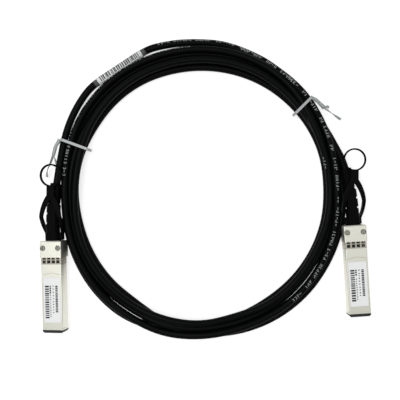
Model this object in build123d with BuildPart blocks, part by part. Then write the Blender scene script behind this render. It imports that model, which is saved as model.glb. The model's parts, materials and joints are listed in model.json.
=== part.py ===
"""A three-metre pluggable copper cable: two small plugs joined by a tied coil of cable.

Millimetres, +Z up. The table is z = 0, and the origin is under the middle of the two plugs.
Each plug is made in its own frame: x runs from the rear face of its head to its nose, y is
across, and z = 0 is the underside of its body. It is then placed beside the coil.
"""

from build123d import *
from math import cos, degrees, pi, radians, sin, tan
import os

# Plug body, the part that slides into a port
plug_length = 56.7
body_width = 13.4
body_height = 8.5
body_edge = 0.5
split_height = body_height / 2
wall = 1.0
side_wall = 1.2
seam_gap = 0.12

# Plug head, the part that stays outside
head_step = 0.3
head_width = body_width + 2 * head_step
head_length = 10.2
head_rise = 0.9
head_drop = 1.9
head_edge = 0.55
head_solid = 6.9
panel_inset = 0.9
panel_depth = 0.18

# Seam between the rear cover and the long top shell
seam_peak = 19.7
seam_side = 20.9

# Label recess and front groove of the top shell
label_start = 22.6
label_front_gap = 6.4
label_length = plug_length - label_start - label_front_gap
label_side_gap = 1.0
label_width = body_width - 2 * label_side_gap
label_recess = 0.25
label_thickness = 0.12
label_margin = 0.1
label_corner = 0.8
groove_front_gap = 3.0
groove_place = plug_length - groove_front_gap
groove_width = 0.3
groove_depth = 0.3

# Nose guide, a moulded frame round the mouth
nose_depth = 1.9
nose_chamfer = 1.1
mouth_side_wall = 1.8
mouth_width = body_width - 2 * mouth_side_wall
mouth_wall = 1.5
mouth_height = body_height - 2 * mouth_wall
mouth_flare = 0.35
sleeve_depth = 3.4
sleeve_fit = 0.05

# Paddle card and its contacts
card_thickness = 1.0
card_side_gap = 0.3
card_width = body_width - 2 * side_wall - 2 * card_side_gap
card_tip_width = mouth_width - 2 * card_side_gap
card_start = 8.2
card_set_back = 3.2
card_end = plug_length - card_set_back
card_tip_length = 6.0
card_chamfer = 0.3
rail_width = 1.0
contact_count = 10
contact_side_gap = 1.0
contact_pitch = (card_tip_width - 2 * contact_side_gap) / (contact_count - 1)
contact_width = 0.6 * contact_pitch
contact_length = 3.6
contact_thickness = 0.06
contact_inset = 0.5

# Spring collar that grounds the plug in its port
collar_start = 10.2
collar_length = 4.3
collar_depth = 0.35
collar_thickness = 0.3
finger_side_gap = 0.7
finger_count = 4
finger_pitch = (body_width - 2 * finger_side_gap) / finger_count
finger_width = 0.7 * finger_pitch
finger_slot = 0.95
finger_bar = 0.95
finger_pocket = 1.7
finger_rise = 0.3
side_finger_count = 2
collar_foot = 1.5

# Cover screws
screw_place = 4.4
screw_side_gap = 2.05
screw_spacing = head_width - 2 * screw_side_gap
screw_head_diameter = 3.0
screw_head_height = 1.15
screw_seat_depth = 1.25
screw_diameter = 1.6
screw_tip_height = 1.7
screw_clearance = 0.1
screw_head_gap = 0.25
recess_width = 0.5
recess_length = 1.9
recess_depth = 0.7

# Release slider under the body, with a wedge each side of the latch boss
slider_thickness = 0.6
slider_clearance = 0.1
slider_side_gap = 1.4
slider_head_width = head_width - 2 * slider_side_gap
slider_step = 1.2
slider_width = slider_head_width - 2 * slider_step
slider_front = 22.4
slider_travel = 2.5
slot_width = 3.6
slot_rear = 14.4
wedge_length = 2.0
wedge_height = 0.5
ear_thickness = 0.6
ear_height = 2.7
ear_length = 3.4
ear_gap = 0.5
ear_side_gap = 1.95
ear_place = head_width / 2 - ear_side_gap
boss_front = 20.9
boss_length = 2.3
boss_width = 2.7
boss_height = 0.8
boss_flat = 0.7

# Strain relief boot
boot_ear_gap = 0.35
boot_base_width = 2 * (ear_place - ear_thickness - boot_ear_gap)
boot_base_length = 4.9
boot_height = 6.6
boot_middle_width = 7.2
boot_end_width = 6.3
boot_end_height = 6.3
boot_middle_end = 22.7
boot_length = 35.4
boot_corner = 0.9
boot_axis = 4.3
notch_places = (10.8, 16.7, 22.7)
notch_width = 1.2
notch_depth = 0.9

# Pull tab
tab_thickness = 1.4
tab_height = 8.1
tab_root_wall = 0.55
tab_root_outer = ear_place + tab_root_wall
tab_root_length = 4.6
tab_rise_end = 15.0
eye_width = head_width
eye_length = 23.0
eye_arm = 2.3
neck_width = 4.8
ring_place = 40.4
ring_diameter = 14.1
ring_band = 1.0

# Cable and the pieces on it
cable_diameter = 4.6
coil_inner_radius = 77.2
coil_side_band = 9.2
coil_top_band = 14.1
coil_outer_x = coil_inner_radius + coil_side_band
coil_outer_y = coil_inner_radius + coil_top_band
coil_outer_centre = (-1.65, 30.1)
coil_inner_centre = (-3.0, 28.2)
coil_height = 10.6
coil_chamfer = 2.2
wrap_length = 32.5
wrap_diameter = 5.2
shrink_length = 38.0
shrink_diameter = 5.7

# Twist ties
tie_width = 1.75
tie_thickness = 0.7
tie_notch_width = 2.4
tie_tail_thickness = 1.2
tie_tail_height = 3.2

# Where each plug lies: rear of its head, heading of its nose, roll about its own length, bend of
# its boot and lean of its pull tab, both towards +y of the plug
places = {
    "a": {"at": (-94.3, -0.1), "heading": -88.5, "roll": 12.0, "bend": 12.3, "lean": 2.3},
    "b": {"at": (92.2, 9.6), "heading": -86.4, "roll": 0.0, "bend": -10.4, "lean": 4.0},
}
route_share = 0.45

# Routes of the two loose stretches of cable, from the boot to where each joins the coil
route_a = [
    (-92.2, 34.2, 8.0),
    (-90.6, 43.4, 7.8),
    (-88.8, 54.6, 6.0),
    (-86.0, 68.2, 4.4),
    (-76.0, 93.2, 3.3),
    (-29.4, 124.0, 2.9),
    (0.0, 125.4, 2.5),
    (22.0, 121.0, 2.4),
    (38.6, 111.4, 3.0),
]
route_b = [
    (87.4, 44.1, 6.2),
    (85.3, 50.6, 6.2),
    (81.0, 58.4, 6.0),
    (77.0, 66.0, 5.6),
]

# Ties: angle about the coil's inner centre, spare room for a loose strand beside the coil, and the
# corners of the twisted tail
ties = {
    "left": {
        "angle": 158.2,
        "spare": 7.3,
        "tail": [(-90.2, 63.4), (-93.8, 56.6), (-98.1, 48.0), (-99.7, 39.6)],
    },
    "right": {
        "angle": 41.2,
        "spare": 0.0,
        "tail": [(65.9, 88.2), (70.5, 87.4), (76.3, 83.8), (85.1, 75.5)],
    },
}

nose_start = plug_length - nose_depth
body_half = body_width / 2
cavity_half = body_half - side_wall
rail_top = split_height - card_thickness / 2
slider_top = slider_clearance + slider_thickness
slider_channel = slider_top + slider_clearance
finger_bar_start = collar_start + finger_slot
finger_bar_end = finger_bar_start + finger_bar


def body_block(low, high, start, end):
    """A length of the plug's body between two heights, with its long outer edges rounded."""
    with BuildPart() as block:
        with BuildSketch(Plane.YZ.offset(start)):
            with Locations((0, (low + high) / 2)):
                Rectangle(body_width, high - low)
        extrude(amount=end - start)
        face = Axis.Z if low > 0 else -Axis.Z
        edges = block.faces().sort_by(face)[-1].edges().filter_by(Axis.X)
        fillet(edges, body_edge)
    return block.part


def neck_cut():
    """The shallow band round the body that the spring collar sits in."""
    with BuildPart() as cut:
        with BuildSketch(Plane.YZ.offset(collar_start)):
            with Locations((0, body_height / 2)):
                Rectangle(body_width + 2 * wall, body_height + 2 * wall)
                Rectangle(
                    body_width - 2 * collar_depth, body_height - 2 * collar_depth, mode=Mode.SUBTRACT
                )
        extrude(amount=collar_length)
    return cut.part


def seam_outline(gap):
    """The outline, seen from above, of everything behind the peaked seam."""
    with BuildSketch() as outline:
        with BuildLine():
            Polyline(
                (head_length / 2, -body_width),
                (seam_side - gap, -body_width),
                (seam_side - gap, -body_half),
                (seam_peak - gap, 0),
                (seam_side - gap, body_half),
                (seam_side - gap, body_width),
                (head_length / 2, body_width),
                close=True,
            )
        make_face()
    return outline.sketch


def base_shell():
    """The cast lower half: head, tray for the card, latch boss and channel for the slider."""
    head_low = -head_drop
    with BuildPart() as base:
        add(body_block(0, split_height, head_length, nose_start))
        with BuildSketch(Plane.YZ):
            with Locations((0, (head_low + split_height) / 2)):
                Rectangle(head_width, split_height - head_low)
        extrude(amount=head_length)
        rear = base.faces().sort_by(Axis.X)[0].edges()
        rear_edges = rear.group_by(Axis.Z)[0] + rear.filter_by(Axis.Z)
        chamfer(rear_edges, head_edge)
        under = base.faces().sort_by(Axis.Z)[0].edges().filter_by(Axis.X)
        fillet(under, body_edge)
        with BuildSketch(Plane.XY.offset(wall)):
            with Locations(((head_solid + nose_start) / 2, 0)):
                Rectangle(nose_start - head_solid, 2 * cavity_half)
        extrude(amount=split_height, mode=Mode.SUBTRACT)
        with BuildSketch(Plane.XY.offset(wall)):
            rail_middle = (head_solid + card_end - card_tip_length - sleeve_depth) / 2
            rail_length = card_end - card_tip_length - sleeve_depth - head_solid
            with Locations((rail_middle, 0)):
                with GridLocations(0, 2 * cavity_half - rail_width, 1, 2):
                    Rectangle(rail_length, rail_width)
        extrude(amount=rail_top - wall)
        add(neck_cut(), mode=Mode.SUBTRACT)
        with BuildSketch(Plane.XY.offset(-slider_clearance)):
            with Locations((head_length / 2, 0)):
                Rectangle(head_length, slider_head_width + 4 * slider_clearance)
        extrude(amount=slider_channel + slider_clearance, mode=Mode.SUBTRACT)
        channel_end = slider_front + wall
        with BuildSketch(Plane.XY.offset(-slider_clearance)):
            with Locations(((head_length + channel_end) / 2, 0)):
                Rectangle(channel_end - head_length, slider_width + 4 * slider_clearance)
        extrude(amount=slider_channel + slider_clearance, mode=Mode.SUBTRACT)
        with BuildSketch(Plane.XZ):
            with BuildLine():
                Polyline(
                    (boss_front - boss_length, slider_channel),
                    (boss_front - boss_length, -boss_height),
                    (boss_front - boss_length + boss_flat, -boss_height),
                    (boss_front, 0),
                    (boss_front, slider_channel),
                    close=True,
                )
            make_face()
        extrude(amount=boss_width / 2, both=True)
        with BuildSketch(Plane.XY.offset(split_height)):
            with Locations((screw_place, 0)):
                with GridLocations(0, screw_spacing, 1, 2):
                    Circle(screw_diameter / 2 + screw_clearance / 2)
        extrude(amount=-(split_height - slider_channel - wall / 2), mode=Mode.SUBTRACT)
    return base.part


def rear_cover():
    """The cast upper half of the head, as far as the peaked seam."""
    top = body_height + head_rise
    with BuildPart() as cover:
        add(body_block(split_height, body_height, head_length, seam_side))
        with BuildSketch(Plane.YZ):
            with Locations((0, (split_height + top) / 2)):
                Rectangle(head_width, top - split_height)
        extrude(amount=head_length)
        rear = cover.faces().sort_by(Axis.X)[0].edges()
        chamfer(rear.group_by(Axis.Z)[-1] + rear.filter_by(Axis.Z), head_edge)
        over = cover.faces().sort_by(Axis.Z)[-1].edges().filter_by(Axis.X)
        fillet(over, body_edge)
        with BuildSketch(Plane.XY.offset(split_height)):
            with Locations(((head_solid + seam_side) / 2, 0)):
                Rectangle(seam_side - head_solid + wall, 2 * cavity_half)
        extrude(amount=body_height - wall - split_height, mode=Mode.SUBTRACT)
        with BuildSketch(Plane.XY.offset(top)):
            with Locations((head_length / 2 + head_edge / 2, 0)):
                RectangleRounded(
                    head_length - 2 * panel_inset, head_width - 2 * panel_inset, label_corner
                )
        extrude(amount=-panel_depth, mode=Mode.SUBTRACT)
        add(neck_cut(), mode=Mode.SUBTRACT)
        window_middle = (collar_start + finger_bar_end + finger_pocket) / 2
        with BuildSketch(Plane.XY.offset(split_height + wall)):
            with Locations((window_middle, 0)):
                with GridLocations(0, finger_pitch, 1, finger_count):
                    Rectangle(finger_bar_end + finger_pocket - collar_start, finger_width)
        extrude(amount=body_height, mode=Mode.SUBTRACT)
        with BuildSketch(Plane.XY.offset(top - screw_seat_depth)):
            with Locations((screw_place, 0)):
                with GridLocations(0, screw_spacing, 1, 2):
                    Circle(screw_head_diameter / 2 + screw_head_gap)
        extrude(amount=screw_seat_depth + wall, mode=Mode.SUBTRACT)
        with BuildSketch(Plane.XY.offset(split_height)):
            with Locations((screw_place, 0)):
                with GridLocations(0, screw_spacing, 1, 2):
                    Circle(screw_diameter / 2 + screw_clearance)
        extrude(amount=top, mode=Mode.SUBTRACT)
        with BuildSketch(Plane.XY):
            with Locations((seam_side, 0)):
                Rectangle(4 * wall, 2 * body_width)
            add(seam_outline(seam_gap), mode=Mode.SUBTRACT)
        extrude(amount=2 * top, mode=Mode.SUBTRACT)
    return cover.part


def top_shell():
    """The long pressed cover over the card, with the label recess and the groove at its front."""
    with BuildPart() as shell:
        add(body_block(split_height, body_height, seam_peak, nose_start))
        with BuildSketch(Plane.XY.offset(split_height)):
            with Locations(((seam_peak + nose_start) / 2, 0)):
                Rectangle(nose_start - seam_peak, 2 * cavity_half)
        extrude(amount=body_height - wall - split_height, mode=Mode.SUBTRACT)
        with BuildSketch(Plane.XY.offset(body_height)):
            with Locations((label_start + label_length / 2, 0)):
                RectangleRounded(label_length, label_width, label_corner)
        extrude(amount=-label_recess, mode=Mode.SUBTRACT)
        with BuildSketch(Plane.YZ.offset(groove_place)):
            with Locations((0, body_height / 2)):
                Rectangle(body_width + wall, body_height + wall)
                Rectangle(
                    body_width - 2 * groove_depth, body_height - 2 * groove_depth, mode=Mode.SUBTRACT
                )
        extrude(amount=groove_width, mode=Mode.SUBTRACT)
        with BuildSketch(Plane.XY):
            add(seam_outline(0))
        extrude(amount=2 * body_height, mode=Mode.SUBTRACT)
    return shell.part


def nose_guide():
    """The black moulded frame round the mouth, with a sleeve that sits inside both shells."""
    sleeve_width = 2 * cavity_half - 2 * sleeve_fit
    sleeve_height = body_height - 2 * wall - 2 * sleeve_fit
    with BuildPart() as guide:
        with BuildSketch(Plane.YZ.offset(nose_start)):
            with Locations((0, body_height / 2)):
                Rectangle(body_width, body_height)
        extrude(amount=nose_depth)
        front = guide.faces().sort_by(Axis.X)[-1].edges()
        chamfer(front.filter_by(Axis.Z), nose_chamfer)
        long_edges = guide.faces().sort_by(Axis.X)[-1].edges().filter_by(Axis.Y)
        chamfer(long_edges, body_edge)
        with BuildSketch(Plane.YZ.offset(nose_start)):
            with Locations((0, body_height / 2)):
                Rectangle(sleeve_width, sleeve_height)
        extrude(amount=-sleeve_depth)
        with BuildSketch(Plane.YZ.offset(nose_start - sleeve_depth)):
            with Locations((0, body_height / 2)):
                Rectangle(mouth_width, mouth_height)
        extrude(amount=sleeve_depth + nose_depth, mode=Mode.SUBTRACT)
        mouth = guide.faces().sort_by(Axis.X)[-1].inner_wires()[0].edges()
        chamfer(mouth, mouth_flare)
    return guide.part


def paddle_card():
    """The circuit card, narrowed where it stands in the mouth, with a bevelled leading edge."""
    with BuildPart() as card:
        with BuildSketch(Plane.XY.offset(rail_top)):
            with BuildLine():
                shoulder = card_end - card_tip_length
                Polyline(
                    (card_start, -card_width / 2),
                    (shoulder, -card_width / 2),
                    (shoulder + wall / 2, -card_tip_width / 2),
                    (card_end, -card_tip_width / 2),
                    (card_end, card_tip_width / 2),
                    (shoulder + wall / 2, card_tip_width / 2),
                    (shoulder, card_width / 2),
                    (card_start, card_width / 2),
                    close=True,
                )
            make_face()
        extrude(amount=card_thickness)
        edge = card.faces().sort_by(Axis.X)[-1].edges().filter_by(Axis.Y)
        chamfer(edge, card_chamfer)
    return card.part


def card_contacts():
    """The gold contact pads on both faces of the card's leading end."""
    middle = card_end - contact_inset - contact_length / 2
    with BuildPart() as pads:
        for foot in (rail_top - contact_thickness, rail_top + card_thickness):
            with BuildSketch(Plane.XY.offset(foot)) as row:
                with Locations((middle, 0)):
                    with GridLocations(0, contact_pitch, 1, contact_count):
                        Rectangle(contact_length, contact_width)
            extrude(row.sketch, amount=contact_thickness)
    return pads.part


def spring_collar():
    """The stamped grounding collar: a band over three sides, with a raised bar in each window."""
    outer_width = body_width - 2 * collar_depth + 2 * collar_thickness
    outer_height = body_height - 2 * collar_depth + 2 * collar_thickness
    window = finger_slot + finger_bar + finger_pocket
    bar_middle = finger_bar_start + finger_bar / 2
    with BuildPart() as collar:
        with BuildSketch(Plane.YZ.offset(collar_start)):
            with Locations((0, body_height / 2)):
                Rectangle(outer_width, outer_height)
                Rectangle(
                    body_width - 2 * collar_depth, body_height - 2 * collar_depth, mode=Mode.SUBTRACT
                )
            with Locations((0, 0)):
                Rectangle(outer_width - 2 * collar_foot, body_height / 2, mode=Mode.SUBTRACT)
        extrude(amount=collar_length)
        with BuildSketch(Plane.XY.offset(body_height / 2)):
            with Locations((collar_start + window / 2, 0)):
                with GridLocations(0, finger_pitch, 1, finger_count):
                    Rectangle(window, finger_width)
        extrude(amount=body_height, mode=Mode.SUBTRACT)
        with BuildSketch(Plane.XZ):
            with Locations((collar_start + window / 2, body_height / 2)):
                with GridLocations(0, finger_pitch, 1, side_finger_count):
                    Rectangle(window, finger_width)
        extrude(amount=body_width, both=True, mode=Mode.SUBTRACT)
        top = body_height - collar_depth
        with BuildSketch(Plane.XZ) as bar:
            with BuildLine():
                foot = Polyline(
                    (finger_bar_end, top + collar_thickness),
                    (finger_bar_end, top),
                    (finger_bar_start, top),
                    (finger_bar_start, top + collar_thickness),
                )
                crown = (bar_middle, top + collar_thickness + finger_rise)
                ThreePointArc(foot @ 1, crown, foot @ 0)
            make_face()
        with GridLocations(0, finger_pitch, 1, finger_count):
            add(extrude(bar.sketch, amount=finger_width / 2, both=True, mode=Mode.PRIVATE))
        side = body_half - collar_depth
        with BuildSketch(Plane.XY) as side_bar:
            with BuildLine():
                foot = Polyline(
                    (finger_bar_end, side + collar_thickness),
                    (finger_bar_end, side),
                    (finger_bar_start, side),
                    (finger_bar_start, side + collar_thickness),
                )
                crown = (bar_middle, side + collar_thickness + finger_rise)
                ThreePointArc(foot @ 1, crown, foot @ 0)
            make_face()
            mirror(about=Plane.XZ)
        lowest = body_height / 2 - finger_pitch * (side_finger_count - 1) / 2
        with Locations(*[(0, 0, lowest + finger_pitch * n) for n in range(side_finger_count)]):
            add(extrude(side_bar.sketch, amount=finger_width / 2, both=True, mode=Mode.PRIVATE))
    return collar.part


def cover_screws():
    """The two cross-recess screws that hold the rear cover down."""
    seat = body_height + head_rise - screw_seat_depth
    with BuildPart() as screws:
        with BuildSketch(Plane.XY.offset(seat)):
            with Locations((screw_place, 0)):
                with GridLocations(0, screw_spacing, 1, 2):
                    Circle(screw_head_diameter / 2)
        extrude(amount=screw_head_height)
        chamfer(screws.faces().sort_by(Axis.Z)[-2:].edges(), screw_head_height / 5)
        with BuildSketch(Plane.XY.offset(seat + screw_head_height - recess_depth)):
            with Locations((screw_place, 0)):
                with GridLocations(0, screw_spacing, 1, 2):
                    Rectangle(recess_length, recess_width)
                    Rectangle(recess_width, recess_length)
        extrude(amount=screw_head_height, mode=Mode.SUBTRACT)
        with BuildSketch(Plane.XY.offset(seat)):
            with Locations((screw_place, 0)):
                with GridLocations(0, screw_spacing, 1, 2):
                    Circle(screw_diameter / 2)
        extrude(amount=screw_tip_height - seat)
    return screws.part


def release_slider():
    """The stamped slider: a forked plate under the body, wedges at its tips, ears for the tab."""
    ear_rear = -(ear_gap + ear_length)
    with BuildPart() as slider:
        with BuildSketch(Plane.XY.offset(slider_clearance)):
            with BuildLine():
                half_head = slider_head_width / 2
                half = slider_width / 2
                Polyline(
                    (ear_rear, ear_place),
                    (ear_gap, ear_place),
                    (slider_travel + ear_gap, half_head),
                    (head_length - slider_travel, half_head),
                    (head_length, half),
                    (slider_front, half),
                    (slider_front, slot_width / 2),
                    (slot_rear, slot_width / 2),
                    (slot_rear, 0),
                    (-ear_gap, 0),
                    (-ear_gap, ear_place - ear_thickness),
                    (ear_rear, ear_place - ear_thickness),
                    close=True,
                )
            make_face()
            mirror(about=Plane.XZ)
        extrude(amount=slider_thickness)
        with BuildSketch(Plane.XY.offset(slider_clearance)):
            with Locations((-ear_gap - ear_length / 2, 0)):
                with GridLocations(0, 2 * ear_place - ear_thickness, 1, 2):
                    Rectangle(ear_length, ear_thickness)
        extrude(amount=ear_height)
        with BuildSketch(Plane.XZ) as wedge:
            with BuildLine():
                Polyline(
                    (slider_front - wedge_length, slider_clearance),
                    (slider_front - wedge_length / 4, slider_clearance - wedge_height),
                    (slider_front, slider_clearance),
                    close=True,
                )
            make_face()
        tongue = (slider_width - slot_width) / 2
        place = slot_width / 2 + tongue / 2
        with Locations((0, place, 0), (0, -place, 0)):
            add(extrude(wedge.sketch, amount=tongue / 2, both=True, mode=Mode.PRIVATE))
    return slider.part


def boot_spine(bend):
    """The line down the middle of the boot's flexible part, and its radius of bend."""
    flexible = boot_length - boot_base_length
    radius = flexible / radians(abs(bend))
    side = 1 if bend > 0 else -1
    with BuildLine():
        spine = JernArc((-boot_base_length, 0, boot_axis), (-1, 0), radius, -side * abs(bend))
    return spine


def boot(bend):
    """The moulded strain relief: a base block, then a flexible stem with notches on both sides."""
    spine = boot_spine(bend)
    flexible = boot_length - boot_base_length
    share = (boot_middle_end - boot_base_length) / flexible
    with BuildPart() as relief:
        with BuildSketch(Plane.YZ) as section:
            with Locations((0, boot_axis)):
                Rectangle(boot_base_width, boot_height)
            chamfer(section.vertices(), boot_corner)
        extrude(amount=-boot_base_length)
        middle = spine.trim(0, share)
        with BuildSketch(Plane(spine @ 0, x_dir=(0, 1, 0), z_dir=spine % 0)) as section:
            Rectangle(boot_middle_width, boot_height)
            chamfer(section.vertices(), boot_corner)
        sweep(path=middle)
        end = spine.trim(share, 1)
        across = (spine % share).cross(Vector(0, 0, 1))
        with BuildSketch(Plane(spine @ share, x_dir=across, z_dir=spine % share)) as section:
            Rectangle(boot_end_width, boot_end_height)
            chamfer(section.vertices(), boot_corner)
        sweep(path=end)
        for place in notch_places:
            along = (place - boot_base_length) / flexible
            across = (spine % along).cross(Vector(0, 0, 1))
            with BuildSketch(Plane(spine @ along, x_dir=across, z_dir=spine % along)):
                with GridLocations(boot_middle_width, 0, 2, 1):
                    Rectangle(2 * notch_depth, 2 * boot_height)
            extrude(amount=notch_width / 2, both=True, mode=Mode.SUBTRACT)
    return relief.part


def pull_tab(lean):
    """The moulded pull tab: two arms up the sides of the boot, an eye over it, a neck and a ring."""
    top = tab_height + tab_thickness
    ring_radius = ring_diameter / 2
    root_end = ear_gap + tab_root_length
    root_inner = ear_place - ear_thickness
    turned = Plane((-root_end, 0, 0), x_dir=(-cos(radians(lean)), sin(radians(lean)), 0))
    with BuildPart() as tab:
        with BuildSketch():
            with Locations((-ear_gap - tab_root_length / 2, 0)):
                with GridLocations(0, tab_root_outer + root_inner, 1, 2):
                    Rectangle(tab_root_length, tab_root_outer - root_inner)
        extrude(amount=top)
        with BuildSketch(turned):
            with BuildLine():
                widest = eye_length / 2 - wall
                outer = ThreePointArc(
                    (-wall, tab_root_outer), (widest, eye_width / 2), (eye_length, neck_width / 2)
                )
                neck_end = ring_place - root_end - ring_radius + ring_band
                neck = Polyline(outer @ 1, (neck_end, neck_width / 2))
                middle = Polyline(neck @ 1, ((neck @ 1).X, 0), (eye_length - eye_arm, 0))
                ThreePointArc(middle @ 1, (widest, eye_width / 2 - eye_arm), (-wall, root_inner))
                Line((-wall, root_inner), (-wall, tab_root_outer))
            make_face()
            mirror(about=Plane.XZ)
            with Locations((ring_place - root_end, 0)):
                Circle(ring_radius)
                Circle(ring_radius - ring_band, mode=Mode.SUBTRACT)
        extrude(amount=top)
        with BuildSketch(Plane.XZ):
            with BuildLine():
                low = slider_clearance
                Polyline(
                    (-ear_gap, low),
                    (-ear_gap, low + ear_height + wall),
                    (-root_end, low + ear_height + wall),
                    (-tab_rise_end, top),
                    (-ring_place - ring_diameter, top),
                    (-ring_place - ring_diameter, tab_height),
                    (-tab_rise_end, tab_height),
                    (-root_end - wall, low),
                    close=True,
                )
            make_face()
        extrude(amount=2 * eye_width, both=True, mode=Mode.INTERSECT)
        with BuildSketch(Plane.XY.offset(slider_clearance)):
            with Locations((-ear_gap - ear_length / 2, 0)):
                with GridLocations(0, 2 * ear_place - ear_thickness, 1, 2):
                    Rectangle(ear_length, ear_thickness)
        extrude(amount=ear_height, mode=Mode.SUBTRACT)
    return tab.part


def plug_label():
    """The printed label in the recess of the top shell."""
    with BuildPart() as label:
        with BuildSketch(Plane.XY.offset(body_height - label_recess)):
            with Locations((label_start + label_length / 2, 0)):
                RectangleRounded(
                    label_length - 2 * label_margin, label_width - 2 * label_margin, label_corner
                )
        extrude(amount=label_thickness)
    return label.part


def plug_location(place):
    """Where a plug's frame stands, with the lowest edge of its head on the table."""
    roll = radians(place["roll"])
    lift = head_drop * cos(roll) + head_width / 2 * sin(abs(roll)) - head_edge * sin(abs(roll))
    x, y = place["at"]
    turn = Location((x, y, lift), (0, 0, place["heading"]))
    side = boot_axis * sin(roll)
    return turn * Location((0, side, 0), (place["roll"], 0, 0))


def cable_tube(route):
    """A tube of cable along straight runs joined by tangent arcs as large as the runs allow."""
    points = [Vector(*p) for p in route]
    runs = [b - a for a, b in zip(points, points[1:])]
    turns = [radians(a.get_angle(b)) for a, b in zip(runs, runs[1:])]
    shorter = [min(a.length, b.length) for a, b in zip(runs, runs[1:])]
    radii = [route_share * run / tan(turn / 2) for run, turn in zip(shorter, turns)]
    print("arc radii", [round(r, 1) for r in radii], "turns", [round(degrees(t), 1) for t in turns])
    print("runs", [round(run.length, 1) for run in runs])
    with BuildPart() as tube:
        with BuildLine() as path:
            FilletPolyline(*points, radius=radii)
        with BuildSketch(Plane(path.line @ 0, z_dir=path.line % 0)):
            Circle(cable_diameter / 2)
        sweep(path=path.line)
    length = sum(edge.length for edge in path.edges())
    share = tube.part.volume / (pi * cable_diameter**2 / 4 * length)
    print("tube length", round(length, 1), "share of the volume of a straight tube", round(share, 4))
    return tube.part


def tie_plane(tie):
    """The plane that cuts the coil at a tie: x runs outwards from the coil's middle, y up."""
    angle = radians(tie["angle"])
    out = (cos(angle), sin(angle), 0)
    along = (sin(angle), -cos(angle), 0)
    return Plane((coil_inner_centre[0], coil_inner_centre[1], 0), x_dir=out, z_dir=along)


def cable_coil():
    """The outer shape of the tied turns of cable, pinched where the ties go round it."""
    with BuildPart() as coil:
        with BuildSketch():
            with Locations(coil_outer_centre):
                Ellipse(coil_outer_x, coil_outer_y)
            with Locations(coil_inner_centre):
                Circle(coil_inner_radius, mode=Mode.SUBTRACT)
        extrude(amount=coil_height)
        chamfer(coil.faces().filter_by(Axis.Z).edges(), coil_chamfer)
        for tie in ties.values():
            plane = tie_plane(tie)
            with BuildSketch(plane):
                with Locations((coil_inner_radius + coil_height, coil_height / 2)):
                    Rectangle(4 * coil_height, 2 * coil_height)
            extrude(amount=tie_notch_width / 2, both=True, mode=Mode.SUBTRACT)
            inner = coil_inner_radius + tie_thickness
            outer = inner + tie_core_width(tie)
            with BuildSketch(plane):
                with Locations(((inner + outer) / 2, coil_height / 2)):
                    Rectangle(outer - inner, coil_height - 2 * tie_thickness)
            extrude(amount=tie_notch_width / 2 + tie_thickness, both=True)
    return coil.part


def tie_core_width(tie):
    """How wide the pinched coil is inside a tie."""
    angle = radians(tie["angle"])
    reach = 1 / ((cos(angle) / coil_outer_x) ** 2 + (sin(angle) / coil_outer_y) ** 2) ** 0.5
    shift = (coil_outer_centre[0] - coil_inner_centre[0]) * cos(angle)
    shift += (coil_outer_centre[1] - coil_inner_centre[1]) * sin(angle)
    return reach + shift - coil_inner_radius - 2 * tie_thickness


def twist_tie(tie):
    """A tie's closed band round the bundle, and its twisted tail."""
    reach = tie_core_width(tie) + 2 * tie_thickness + tie["spare"]
    with BuildPart() as band:
        with BuildSketch(tie_plane(tie)):
            with Locations((coil_inner_radius + reach / 2, coil_height / 2)):
                Rectangle(reach, coil_height)
                room = reach - 2 * tie_thickness
                Rectangle(room, coil_height - 2 * tie_thickness, mode=Mode.SUBTRACT)
        extrude(amount=tie_width / 2, both=True)
        with BuildSketch(Plane.XY.offset(tie_tail_height)):
            with BuildLine() as tail:
                Polyline(*tie["tail"])
            trace(tail.line, tie_width)
        extrude(amount=tie_tail_thickness)
    return band.part


def wrap_pieces():
    """The white label wrapped round the straight stretch of cable, and the clear sleeve over it."""
    start, end = Vector(*route_a[4]), Vector(*route_a[5])
    middle = (start + end) / 2
    plane = Plane(middle, z_dir=end - start)
    with BuildPart() as wrap:
        with BuildSketch(plane):
            Circle(wrap_diameter / 2)
            Circle(cable_diameter / 2, mode=Mode.SUBTRACT)
        extrude(amount=wrap_length / 2, both=True)
    with BuildPart() as sleeve:
        with BuildSketch(plane):
            Circle(shrink_diameter / 2)
            Circle(wrap_diameter / 2, mode=Mode.SUBTRACT)
        extrude(amount=wrap_length / 2, both=True)
        for side in (1, -1):
            with BuildSketch(plane.offset(side * wrap_length / 2)):
                Circle(shrink_diameter / 2)
                Circle(cable_diameter / 2, mode=Mode.SUBTRACT)
            extrude(amount=side * (shrink_length - wrap_length) / 2)
    return wrap.part, sleeve.part


def write(part, name):
    """Label a finished piece and write its file."""
    part.label = name
    export_step(part, f"parts/{name}.step")


os.makedirs("parts", exist_ok=True)
for key, place in places.items():
    there = plug_location(place)
    pieces = {
        "base_shell": base_shell(),
        "rear_cover": rear_cover(),
        "top_shell": top_shell(),
        "nose_guide": nose_guide(),
        "paddle_card": paddle_card(),
        "card_contacts": card_contacts(),
        "spring_collar": spring_collar(),
        "cover_screws": cover_screws(),
        "release_slider": release_slider(),
        "boot": boot(place["bend"]),
        "pull_tab": pull_tab(place["lean"]),
        "plug_label": plug_label(),
    }
    exit_line = boot_spine(place["bend"])
    mouth = there * Location(exit_line @ 1)
    print(key, "cable leaves the boot at", mouth.position)
    for name, piece in pieces.items():
        write(piece.moved(there), f"{name}_{key}")

write(cable_coil(), "cable_coil")
write(cable_tube(route_a), "cable_tail_a")
write(cable_tube(route_b), "cable_tail_b")
for side, tie in ties.items():
    write(twist_tie(tie), f"twist_tie_{side}")
wrap, sleeve = wrap_pieces()
write(wrap, "cable_label")
write(sleeve, "label_sleeve")
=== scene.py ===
"""Looks of a coiled network cable with a pluggable metal connector at each end.

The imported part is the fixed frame. The cable is drawn as one run from boot to boot, through the
turns of the coil, and the printed marks, the wrapped label, its sleeve and the ties lie on it.
"""

import json
import math
import random

import bmesh
import bpy
from bpy.props import FloatProperty, FloatVectorProperty, IntProperty, PointerProperty
from mathutils import Matrix, Vector


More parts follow.
